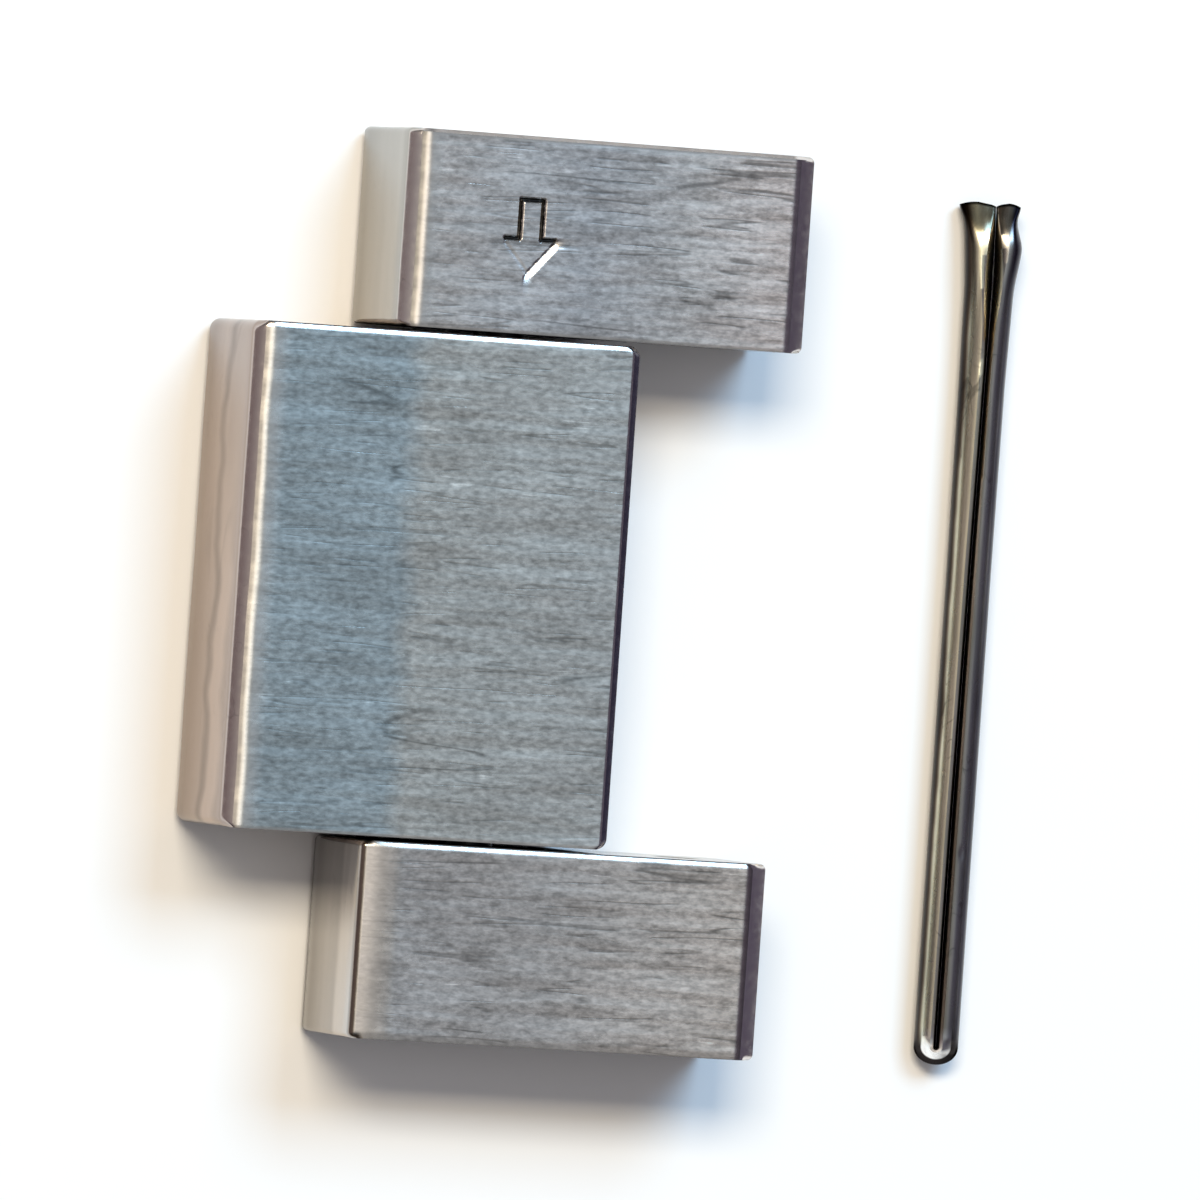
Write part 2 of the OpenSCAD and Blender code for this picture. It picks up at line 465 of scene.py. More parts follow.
def painted_reflection_line(f, height, seed):
    """A dark line of painted reflection that wanders along an end face, with a painted highlight band above it
    towards the south.
    """
    wander = f.sway(f.noise((0.1, 0.45, 0.1), detail=2.0, seed=seed), -0.25, 0.25)
    above = f.maths("SUBTRACT", f.axis("Z"), f.plus(wander, height))
    highlight_band = f.times(
        f.spread(above, 0.15, 0.4, smooth=True),
        f.spread(above, 0.8, 1.1, 1.0, 0.0),
        f.spread(f.axis("Y"), -1.0, 3.0, 0.3, 0.0),
    )
    return f.times(f.spread(f.size(above), 0.0, 0.3, 0.7, 1.0, smooth=True), f.plus(1.0, highlight_band))


def painted_light_strip(f, left):
    """A painted strip of light along the top of a left end face."""
    z = f.axis("Z")
    strip = f.times(
        f.spread(z, 2.05, 2.35, -0.06, 0.38, smooth=True),
        f.spread(z, 3.08, 3.15, 1.0, 0.0),
        f.spread(f.axis("X"), left + 0.05, left + 0.15, 1.0, 0.0),
    )
    return f.plus(1.0, strip)


def polished_steel(name, face, edge, seed, reflection_line_height=None, left=None, right=None):
    """The upright faces and the rounded edges, polished and a little worn. The faces' colour is darker and warmer
    than the edges', as painted reflection of the shaded table.

    A height may be given for a painted dark reflection line along an end face. Left and right give an end
    whose upper edge is darkened, as painted shade at the left and as painted reflection at the right.
    """
    f = Finish(name)
    sweep = f.noise((0.5, 0.1, 0.9), detail=3.0, rough=0.55, twist=0.5, seed=seed)
    grime = f.lines((0.3, 0.09, 0.55), 0.04, (0.2, 0.25, 0.5), 0.4, twist=0.8, seed=seed + 1)
    marks = f.lines((2.0, 1.2, 3.0), 0.01, (0.8, 0.8, 0.8), 0.25, twist=1.0, seed=seed + 2)
    worn = f.noise((6.0, 6.0, 6.0), detail=3.0, rough=0.6, seed=seed + 3)
    waves = f.noise((0.7, 0.35, 0.7), detail=1.0, seed=seed + 4)
    # Painted shade in the narrow gaps between the pieces, almost black, with rougher steel there.
    gap_shade = gap_painted_shade(f)
    factor = f.times(
        f.sway(sweep, 0.92, 1.08),
        f.fade(grime, 0.9),
        f.fade(marks, 0.85),
        f.fade(gap_shade, 0.04),
        # Painted shade: darker towards the bottom, near the table.
        f.spread(f.axis("Z"), 0.5, 1.6, 0.74, 1.0, smooth=True),
    )
    edge = linear(edge)
    # Painted reflection: a dark wandering line on the end face, with a painted highlight band above it.
    if reflection_line_height is not None:
        factor = f.times(factor, painted_reflection_line(f, reflection_line_height, seed + 6))
    if left is not None:
        # Painted light: a pale strip along the top of the left end face.
        factor = f.times(factor, painted_light_strip(f, left))
        # Painted shade: the left end's upper edge is darkened towards brown.
        edge_shade = f.spread(f.axis("X"), left + 0.2, left + 0.4, 1.0, 0.0)
        edge = f.blend(edge_shade, edge, linear((132, 118, 106)))
    if right is not None:
        # Painted reflection: the right end's upper edge is tinted a dark purple.
        edge_shade = f.spread(f.axis("X"), right - 0.4, right - 0.3)
        edge = f.blend(edge_shade, edge, linear((133, 131, 144)))
    f.set(
        Metallic=1.0,
        Base_Color=f.shade(f.blend(f.attribute("steep"), edge, linear(face)), factor),
        Roughness=f.plus(f.spread(worn, 0.35, 0.7, 0.12, 0.22), f.times(gap_shade, 0.4)),
        Normal=f.bump(waves, 0.01, f.bump(worn, 0.0006)),
    )
    return f.material


def drilled_steel(name, seed):
    """The walls of the bores, with turning marks round them."""
    f = Finish(name)
    rings = f.noise((0.6, 14.0, 0.6), detail=2.0, seed=seed)
    soil = f.noise((1.4, 0.8, 1.4), detail=4.0, rough=0.6, seed=seed + 1)
    tone = f.ramp(f.spread(soil, 0.35, 0.65), ((0.0, (104, 100, 95)), (1.0, (150, 149, 147))))
    f.set(
        Metallic=1.0,
        Base_Color=f.shade(tone, f.sway(rings, 0.85, 1.1)),
        Roughness=f.sway(soil, 0.34, 0.48),
        Normal=f.bump(rings, 0.004),
    )
    return f.material


def ground_steel(name, seed):
    """The fixed pin, ground round its axis, with painted shade where it crosses the two gaps."""
    f = Finish(name)
    rings = f.noise((0.8, 20.0, 0.8), detail=2.0, seed=seed)
    gap_middle = node_box("centre_link")[1][1] + GAP / 2
    from_gap = f.size(f.maths("SUBTRACT", f.size(f.axis("Y")), gap_middle))
    # Painted shade where the pin crosses the gaps.
    pin_gap_shade = f.spread(from_gap, 0.06, 0.12, 0.04, 1.0)
    f.set(
        Metallic=1.0,
        Base_Color=f.shade(linear((186, 187, 189)), f.times(f.sway(rings, 0.9, 1.06), pin_gap_shade)),
        Roughness=f.sway(rings, 0.22, 0.32),
        Normal=f.bump(rings, 0.0015),
    )
    return f.material


def wire_painted_tone(f, out):
    """Painted highlights and shade of the drawn wire from the slit out, down the west leg, the east leg and round
    the fold: pale bands on top, dark down the outer sides, white round the fold.
    """
    west = f.ramp(out, (
        (0.0, (214, 204, 176)), (0.14, (200, 194, 170)), (0.27, (248, 242, 212)), (0.4, (220, 213, 188)),
        (0.54, (252, 246, 214)), (0.68, (198, 190, 166)), (0.74, (126, 114, 98)), (0.8, (64, 52, 42)),
        (0.9, (30, 22, 17)), (1.0, (18, 12, 9)),
    ))
    east = f.ramp(out, (
        (0.0, (190, 170, 150)), (0.18, (186, 168, 150)), (0.28, (146, 140, 128)), (0.4, (172, 166, 158)),
        (0.54, (170, 168, 162)), (0.68, (136, 134, 130)), (0.76, (92, 88, 94)), (0.82, (42, 38, 50)),
        (1.0, (24, 20, 32)),
    ))
    bend = f.ramp(out, (
        (0.0, (150, 128, 116)), (0.12, (190, 176, 166)), (0.2, (246, 244, 240)), (0.62, (246, 244, 240)),
        (0.67, (40, 32, 30)), (1.0, (20, 16, 16)),
    ))
    tone = f.blend(f.attribute("bend"), f.blend(f.attribute("east"), west, east), bend)
    return f.blend(f.attribute("under"), tone, linear((158, 152, 142)))


def wire_steel(name, seed):
    """Drawn wire of the split pin, stained in places, with painted highlights on top and painted shade down its
    outer sides.
    """
    f = Finish(name)
    drawn = f.noise((9.0, 0.25, 9.0), detail=3.0, rough=0.6, seed=seed)
    stain = f.noise((1.0, 0.35, 1.0), detail=4.0, rough=0.6, seed=seed + 1)
    marks = f.lines((2.5, 1.1, 2.5), 0.02, (0.8, 0.5, 0.8), 0.3, twist=0.8, seed=seed + 2)
    drift = f.sway(f.noise((0.4, 0.5, 0.4), seed=seed + 3), -0.04, 0.04)
    factor = f.times(
        f.sway(drawn, 0.86, 1.12),
        f.fade(marks, 0.6),
        f.spread(stain, 0.32, 0.68, 0.72, 1.15),
        # Painted shade in the slit between the legs.
        f.fade(f.attribute("groove"), 0.02),
        # Painted shade on the tips' chisel facets and free ends.
        f.spread(f.attribute("tip"), 0.0, 2.0, 1.0, -0.5),
    )
    # Painted highlights and shade across the wire, and a painted white highlight round the fold.
    tone = wire_painted_tone(f, f.plus(f.attribute("out"), drift))
    f.set(
        Metallic=1.0,
        Base_Color=f.shade(tone, f.maths("MAXIMUM", factor, 0.015)),
        Roughness=f.sway(stain, 0.32, 0.22),
        Normal=f.bump(drawn, 0.0012),
    )
    return f.material


# Meshes of the three flat pieces

def graded(low, high, step, dense=None):
    """Places from low to high, close together at both ends and, if asked, in a dense stretch."""
    near = [low + g for g in FLAT_GRADES] + [high - g for g in FLAT_GRADES]
    count = max(2, round((high - low) / step))
    places = [low, high, *near, *np.linspace(low, high, count + 1)[1:-1]]
    if dense is not None:
        places = [p for p in places if not dense[0] < p < dense[1]]
        places += list(np.arange(dense[0], dense[1], MARK_STEP))
    places = sorted(p for p in places if low <= p <= high)
    kept = [places[0]]
    for p in places[1:]:
        if p - kept[-1] > LEAST_STEP:
            kept.append(p)
    kept[-1] = high
    return np.array(kept)


def edge_walk(stops, steps):
    """A rounded edge, from the upright face up to the flat, as pairs of the way in and the way down."""
    walked, tilts = zip(*stops)
    places = np.linspace(0, walked[-1], steps + 1)
    tilt = np.radians(np.interp((places[1:] + places[:-1]) / 2, walked, tilts))
    out = np.concatenate([[0], np.cumsum(np.cos(tilt) * np.diff(places))])
    down = np.concatenate([[0], np.cumsum(np.sin(tilt) * np.diff(places))])
    return np.stack([out[-1] - out, down], 1)[::-1]


def outline(low, high, left, right, flat):
    """The closed outline of a piece from the side. Left and right are the edges that edge_walk gives."""
    left_face = np.linspace(low[2] + left[0, 1], high[2] - left[0, 1], END_STEPS + 1)[1:-1]
    right_face = np.linspace(high[2] - right[0, 1], low[2] + right[0, 1], END_STEPS + 1)[1:-1]
    under = np.linspace(high[0] - right[-1, 0], low[0] + left[-1, 0], UNDER_STEPS + 1)[1:-1]
    runs = [
        [(low[0], z) for z in left_face],
        [(low[0] + x, high[2] - z) for x, z in left],
        [(x, high[2]) for x in flat[1:-1]],
        [(high[0] - x, high[2] - z) for x, z in right[::-1]],
        [(high[0], z) for z in right_face],
        [(high[0] - x, low[2] + z) for x, z in right],
        [(x, low[2]) for x in under],
        [(low[0] + x, low[2] + z) for x, z in left[::-1]],
    ]
    return np.array([p for run in runs for p in run])


def outward(points, reach):
    """The outward direction at each point of a closed outline that runs clockwise.

    It is evened out over a reach, so that an outline drawn in by as much doesn't cross itself.
    """
    step = np.roll(points, -1, 0) - points
    length = np.linalg.norm(step, axis=1)
    side = np.stack([-step[:, 1], step[:, 0]], 1) / length[:, None]
    start, whole = np.cumsum(length) - length, length.sum()
    begin = (start[None, :] - start[:, None] + whole / 2) % whole - whole / 2
    shared = np.minimum(begin + length, reach) - np.maximum(begin, -reach)
    mean = np.clip(shared, 0, None) @ side
    return mean / np.linalg.norm(mean, axis=1)[:, None]


def upright_corner(points, low, high):
    """How far each point of an outline belongs to an upright corner, and not to a long edge."""
    to_end = np.minimum(points[:, 0] - low[0], high[0] - points[:, 0])
    at_end = np.clip(1 - to_end / CORNER_REACH, 0, 1)
    return at_end * at_end * (3 - 2 * at_end)


def link_mesh(name, node, ends, longs, corner, wave, mark=None):
    """A flat piece: its outline carried across its width, drawn in at both sides to round the edges over.

    Ends gives the edges at the left and right end, and longs the south and the north edge.
    """
    low, high = node_box(node)
    left, right = (edge_walk(stops, ARC_STEPS) for stops in ends)
    south, north = (edge_walk(stops, SIDE_STEPS) for stops in longs)
    dense_x = dense_y = None
    if mark is not None:
        dense_x = (mark[0] - MARK_HEAD_HALF - MARK_LINE, mark[0] + MARK_HEAD_HALF + MARK_LINE)
        dense_y = (mark[1] - MARK_HEAD_LEN - MARK_LINE, mark[1] + MARK_SHAFT_LEN + MARK_LINE)
    flat = graded(low[0] + left[-1, 0], high[0] - right[-1, 0], FLAT_STEP, dense_x)
    widest = [max(side[-1, 0], corner) for side in (south, north)]
    middle = graded(low[1] + widest[0], high[1] - widest[1], STATION_STEP, dense_y)
    turns = np.linspace(math.pi / 2, 0, SIDE_STEPS + 1)
    upright = corner * np.stack([1 - np.sin(turns), 1 - np.cos(turns)], 1)

    def ring(y):
        """The outline at a place across the piece, where the left edge wanders a little."""
        shift = wave * math.sin(y * LONG_WAVE + low[1]) + 0.5 * wave * math.sin(y * SHORT_WAVE + 1)
        bent = left * (1 + shift / left[-1, 0], 1 + shift * 0.6 / left[0, 1])
        return outline(low, high, bent, right, flat + shift * (high[0] - flat) / (high[0] - low[0]))

    def side_rings(y, way, edge):
        """The rings at one side, from the side face in, with their edges rounded over."""
        points = ring(y)
        share = upright_corner(points, low, high)[:, None]
        for k in range(SIDE_STEPS + 1):
            walk = edge[k] * (1 - share) + upright[k] * share
            drawn_in = points - outward(points, corner) * walk[:, 1:]
            yield drawn_in, y + way * walk[:, 0]

    rings = list(side_rings(low[1], 1, south))
    rings += [(ring(y), np.full(len(rings[0][0]), y)) for y in middle[1:-1]]
    rings += reversed(list(side_rings(high[1], -1, north)))
    co = np.array([(x, y, z) for points, ys in rings for (x, z), y in zip(points, ys)])
    co[:, 2] -= MARK_DEPTH * arrow_line(co, high[2], mark)[0]
    return solid(name, co, tube_faces(len(rings), len(rings[0][0])))


def tube_faces(rings, count):
    """The faces of a closed tube of rings with count points each."""
    faces = []
    for start in range(0, (rings - 1) * count, count):
        for i in range(count):
            j = (i + 1) % count
            faces.append((start + i, start + j, start + count + j, start + count + i))
    last = (rings - 1) * count
    return [*faces, tuple(range(count)), tuple(last + i for i in reversed(range(count)))]


def solid(name, co, faces):
    """A mesh object from points in millimetres, with its faces turned outwards."""
    mesh = bpy.data.meshes.new(name)
    mesh.from_pydata((np.asarray(co) * MM).tolist(), [], faces)
    turned = bmesh.new()
    turned.from_mesh(mesh)
    bmesh.ops.recalc_face_normals(turned, faces=turned.faces)
    turned.to_mesh(mesh)
    turned.free()
    made = bpy.data.objects.new(name, mesh)
    bpy.context.scene.collection.objects.link(made)
    return made


def arrow_strokes(mark):
    """The strokes of the arrow's outline: ends, widths left and right of the line, depth and painted shade."""
    x, y = mark
    shaft, head, line = MARK_SHAFT_HALF, MARK_HEAD_HALF, MARK_LINE / 2
    top, tip = y + MARK_SHAFT_LEN, (x + MARK_LEAN, y - MARK_HEAD_LEN)
    corners = [
        (x - head, y), (x - shaft, y), (x - shaft, top), (x + shaft, top), (x + shaft, y), (x + head, y)]
    strokes = [(a, b, line, line, 1.0, 1.0) for a, b in zip(corners, corners[1:])]
    strokes.append(((x + head, y - line), tip, MARK_SLANT, MARK_SLANT_BACK, MARK_SLANT_DEPTH, 0.0))
    strokes.append((tip, (x - head, y - MARK_LINE), line, line, MARK_FAINT_DEPTH, 0.0))
    return strokes


def near_mark(co, top, mark):
    """Which points of a piece lie on its top and close to its arrow."""
    if mark is None:
        return np.zeros(len(co), bool)
    away = np.hypot(co[:, 0] - mark[0], co[:, 1] - mark[1])
    return (co[:, 2] > top - MARK_DEPTH * 1.2) & (away < MARK_REACH)


def arrow_line(co, top, mark):
    """How far each point is sunk into the arrow's line, and how much painted shade it gets there, from 0 to 1."""
    both = np.zeros((2, len(co)))
    if mark is None:
        return both
    near = np.where(near_mark(co, top, mark))[0]
    sunk, dark = np.zeros((2, len(near)))
    for start, end, left, right, depth, line_shade in arrow_strokes(mark):
        a, b = np.array(start), np.array(end)
        way, to_point = b - a, co[near, :2] - a
        share = np.clip(to_point @ way / (way @ way), 0, 1)
        off = np.linalg.norm(to_point - share[:, None] * way, axis=1)
        on_left = way[0] * to_point[:, 1] - way[1] * to_point[:, 0] > 0
        inside = np.clip(MARK_BRINK - off / np.where(on_left, left, right), 0, 1)
        sunk = np.maximum(sunk, depth * np.minimum(inside, 1))
        dark = np.maximum(dark, line_shade * np.clip(inside * 1.5, 0, 1))
    both[:, near] = sunk, dark
    return both


# Bores

def lathe(name, profile, place):
    """A closed turned shape along Y. The profile is pairs of a place along Y and a radius."""
    angles = np.arange(BORE_SIDES) * 2 * math.pi / BORE_SIDES
    co = [
        (place[0] + r * math.cos(a), y, place[2] + r * math.sin(a))
        for y, r in profile for a in angles
    ]
    return solid(name, co, tube_faces(len(profile), BORE_SIDES))


def mouth(face_y, inward, radius):
    """The rounded mouth of a bore, from just outside a face to the bore's wall."""
    turn = np.linspace(0, math.pi / 2, MOUTH_STEPS + 1)
    rounded = [
        (face_y + inward * MOUTH_ROUND * (1 - math.cos(t)), radius + MOUTH_ROUND * (1 - math.sin(t)))
        for t in turn
    ]
    return [(face_y - inward * CUTTER_PAST, radius + MOUTH_ROUND), *rounded]


def open_hole(radius, low, high):
    """Profile of the cutter for a hole right through a piece."""
    return mouth(low[1], 1, radius) + mouth(high[1], -1, radius)[::-1]


def drill(piece, cutter):
    """Cuts a bore and removes its cutter."""
    cut = piece.modifiers.new("bore", "BOOLEAN")
    cut.operation = "DIFFERENCE"
    cut.solver = "EXACT"
    cut.object = cutter
    done = bpy.data.meshes.new_from_object(piece.evaluated_get(bpy.context.evaluated_depsgraph_get()))
    piece.modifiers.remove(cut)
    old = piece.data
    piece.data = done
    done.name = piece.name
    bpy.data.meshes.remove(old)
    bpy.data.objects.remove(cutter)


def point_values(mesh, name, values):
    mesh.attributes.new(name, "FLOAT", "POINT").data.foreach_set("value", values.astype(np.float32))


def brushing_map(mesh, co):
    """A map whose first direction runs along the bracelet on the flats, which the brushing follows."""
    layer = mesh.uv_layers.new(name="along")
    for face in mesh.polygons:
        x, y, z = (abs(n) for n in face.normal)
        first, second = (0, 1) if z >= max(x, y) else (2, 1) if x >= y else (0, 2)
        for corner in face.loop_indices:
            p = co[mesh.loops[corner].vertex_index]
            layer.data[corner].uv = (p[first] / MAP_SPAN, p[second] / MAP_SPAN)


def in_bore(centre, low, high, holes):
    """Whether the middle of a face lies on the wall or the mouth of a hole."""
    within = low[1] + BORE_SKIN < centre[1] < high[1] - BORE_SKIN
    return within and any(math.hypot(centre[0] - x, centre[2] - z) < r + MOUTH_ROUND for x, z, r in holes)


def dress(piece, node, holes, materials, mark=None):
    """Smooth shading, the values that the finishes follow, and a finish for each face."""
    low, high = node_box(node)
    mesh = piece.data
    for material in materials:
        mesh.materials.append(material)
    co = np.array([v.co for v in mesh.vertices]) / MM
    tilt = np.degrees([math.acos(min(abs(v.normal.z), 1)) for v in mesh.vertices])
    struck_part = near_mark(co, high[2], mark)
    on_side = np.minimum(co[:, 1] - low[1], high[1] - co[:, 1]) < SIDE_SKIN
    point_values(mesh, "struck", arrow_line(co, high[2], mark)[1])
    point_values(mesh, "rounded", np.clip(tilt / BRUSHED_TILT, 0, 1) * ~struck_part)
    steep = np.clip((tilt - STEEP_FROM) / (STEEP_TO - STEEP_FROM), 0, 1)
    point_values(mesh, "steep", np.where(on_side, 1, steep))
    brushing_map(mesh, co)
    flat_enough = math.cos(math.radians(BRUSHED_TILT))
    for face in mesh.polygons:
        on_flat = struck_part[list(face.vertices)].all() or abs(face.normal.z) > flat_enough
        bored = in_bore(np.array(face.center) / MM, low, high, holes)
        face.material_index = 2 if bored else 0 if on_flat else 1
    mesh.set_sharp_from_angle(angle=SHARP_ANGLE)
    for face in mesh.polygons:
        face.use_smooth = abs(face.normal.y) < SIDE_FACING


def outer_piece(name, node, inner_side, materials, left, longs, mark=None):
    """An outer piece with its open hole and the blind hole that grips the fixed pin."""
    low, high = node_box(node)
    ends = (left, OUTER_RIGHT_EDGE)
    piece = link_mesh(name, node, ends, longs, OUTER_CORNER, OUTER_WAVE, mark)
    drill(piece, lathe("open_hole", open_hole(HOLE_RADIUS, low, high), LINK_HOLE))
    inner = low[1] if inner_side < 0 else high[1]
    ends = (inner + inner_side * CUTTER_PAST, inner - inner_side * PIVOT_GRIP)
    drill(piece, lathe("blind_hole", [(y, PIVOT_RADIUS) for y in ends], PIVOT))
    holes = [(LINK_HOLE[0], LINK_HOLE[2], HOLE_RADIUS), (PIVOT[0], PIVOT[2], PIVOT_RADIUS)]
    dress(piece, node, holes, materials, mark)
    return piece


def centre_piece(name, node, materials):
    """The centre piece with its open hole and the hole that runs on the fixed pin."""
    low, high = node_box(node)
    ends, longs = (CENTRE_LEFT_EDGE, CENTRE_RIGHT_EDGE), (SLIGHT_EDGE, BROAD_EDGE)
    piece = link_mesh(name, node, ends, longs, CENTRE_CORNER, CENTRE_WAVE)
    running = PIVOT_RADIUS + PIVOT_CLEARANCE
    right_through = (low[1] - CUTTER_PAST, high[1] + CUTTER_PAST)
    drill(piece, lathe("open_hole", open_hole(HOLE_RADIUS, low, high), CENTRE_HOLE))
    drill(piece, lathe("running_hole", [(y, running) for y in right_through], PIVOT))
    holes = [(CENTRE_HOLE[0], CENTRE_HOLE[2], HOLE_RADIUS), (PIVOT[0], PIVOT[2], running)]
    dress(piece, node, holes, materials)
    return piece


# The split pin

def line_of(name, points, closed):
    """A curve object through points in millimetres."""
    data = bpy.data.curves.new(name, "CURVE")
    data.dimensions = "3D"
    spline = data.splines.new("POLY")
    spline.points.add(len(points) - 1)
    for point, place in zip(spline.points, points):
        point.co = (*(c * MM for c in place), 1)
    spline.use_cyclic_u = closed
    made = bpy.data.objects.new(name, data)
    bpy.context.scene.collection.objects.link(made)
    return made


def along(stops, back):
    """A smooth value between stops, at distances back from the free end."""
    places, values = zip(*stops)
    spread = np.linspace(-EVEN_REACH, EVEN_REACH, 9)
    return np.mean([np.interp(back + d, places, values) for d in spread], 0)


def wire_section(radius):
    """The half-round section of the wire: its flat side on x = 0, its back towards +X."""
    arc = [
        (WIRE_DEPTH * math.sin(t), radius * -math.cos(t))
        for t in np.linspace(WIRE_CUT, math.pi - WIRE_CUT, WIRE_STEPS + 1)
    ]
    top = arc[-1][1]
    flat = [(0, y) for y in np.linspace(top - WIRE_CORNER, WIRE_CORNER - top, INNER_STEPS + 1)]
    return [(x, y, 0) for x, y in arc + flat]


def hairpin(middle_x, height, free_end, fold_y):
    """The line that the wire's flat side follows: down the left leg, round the fold, up the right leg."""
    length = free_end - fold_y
    near_fold = length - FOLD_STRETCH
    back = np.concatenate([
        np.arange(0, TIP_STRETCH, TIP_STEP),
        np.arange(TIP_STRETCH, near_fold, LEG_STEP),
        np.linspace(near_fold, length, 13),
    ])
    middle, half = middle_x + along(SLIT_MIDDLE, back), along(SLIT_HALF, back)
    left = np.stack([middle - half, free_end - back], 1)
    right = np.stack([middle + half, free_end - back], 1)
    turn = np.radians(np.linspace(180, 360, FOLD_STEPS + 1)[1:-1])
    round_fold = np.stack([middle[-1] + half[-1] * np.cos(turn), fold_y + half[-1] * np.sin(turn)], 1)
    return [(x, y, height) for x, y in np.concatenate([left, round_fold, right[::-1]])]


def sweep_tree():
    """Node tree that carries a section along a curve that lies flat, and closes both ends."""
    tree = bpy.data.node_groups.new("drawn_wire", "GeometryNodeTree")
    face = tree.interface
    face.new_socket("Path", in_out="INPUT", socket_type="NodeSocketGeometry")
    face.new_socket("Section", in_out="INPUT", socket_type="NodeSocketObject")
    face.new_socket("Steel", in_out="INPUT", socket_type="NodeSocketMaterial")
    face.new_socket("Wire", in_out="OUTPUT", socket_type="NodeSocketGeometry")
    inputs = tree.nodes.new("NodeGroupInput")
    output = tree.nodes.new("NodeGroupOutput")
    level = tree.nodes.new("GeometryNodeSetCurveNormal")
    level.mode = "Z_UP"
    section = tree.nodes.new("GeometryNodeObjectInfo")
    sweep = tree.nodes.new("GeometryNodeCurveToMesh")
    sweep.inputs["Fill Caps"].default_value = True
    realize = tree.nodes.new("GeometryNodeRealizeInstances")
    steel = tree.nodes.new("GeometryNodeSetMaterial")
    for source, target in (
        (inputs.outputs["Path"], level.inputs[0]),
        (inputs.outputs["Section"], section.inputs["Object"]),
        (level.outputs[0], sweep.inputs["Curve"]),
        (section.outputs["Geometry"], sweep.inputs["Profile Curve"]),
        (sweep.outputs[0], realize.inputs[0]),
        (realize.outputs[0], steel.inputs["Geometry"]),
        (inputs.outputs["Steel"], steel.inputs["Material"]),
        (steel.outputs[0], output.inputs[0]),
    ):
        tree.links.new(source, target)
    return tree


def swept_mesh(name, path, section, steel):
    """The mesh that the node tree makes of a path and a section, which are then removed."""
    tree = sweep_tree()
    sweep = path.modifiers.new("drawn_wire", "NODES")
    sweep.node_group = tree
    names = {item.name: item.identifier for item in tree.interface.items_tree}
    sweep[names["Section"]] = section
    sweep[names["Steel"]] = steel
    mesh = bpy.data.meshes.new_from_object(path.evaluated_get(bpy.context.evaluated_depsgraph_get()))
    path.modifiers.remove(sweep)
    bpy.data.objects.remove(path)
    bpy.data.objects.remove(section)
    mesh.name = name
    return mesh


def wire_reach(way, shift, back):
    """How far the wire reaches from the middle of its slit: to each side, and round the fold."""
    side = np.where(way[:, 0] < 0, along(LEFT_REACH, back) + shift, along(RIGHT_REACH, back) - shift)
    return 1 / np.sqrt((way[:, 0] / side) ** 2 + (way[:, 1] / FOLD_REACH) ** 2)


def chisel(high, back, radius):
    """Half heights of the tips, hammered to an edge, and how far each point lies from the two faces."""
    limit = CHISEL_EDGE + (radius - CHISEL_EDGE + CHISEL_RISE) * back / CHISEL_LEN
    gap = np.clip((limit - high) / CHISEL_BLEND, -1, 1)
    low = np.minimum(high, limit) - CHISEL_BLEND / 4 * (1 - np.abs(gap)) ** 2
    return np.where(back < CHISEL_LEN * CHISEL_END, np.maximum(low, 0), high), gap


def slope_fold(high, from_slit, to_fold, radius):
    """Half heights of the fold, whose back slopes down from the slit outwards."""
    in_bend = np.clip((FOLD_START - to_fold) / FOLD_BLEND, 0, 1)
    sloped = np.minimum(high, np.maximum(radius - FOLD_SLOPE * (from_slit - FOLD_RIM), FOLD_THIN))
    return high + in_bend * (sloped - high)


def nick(across, back):
    """Depth of the small nick in the upper side."""
    off = np.hypot((across - NICK[0]) / NICK_SIZE[0], (back - NICK[1]) / NICK_SIZE[1])
    return NICK_DEPTH * np.clip(1 - off, 0, 1) ** 1.5


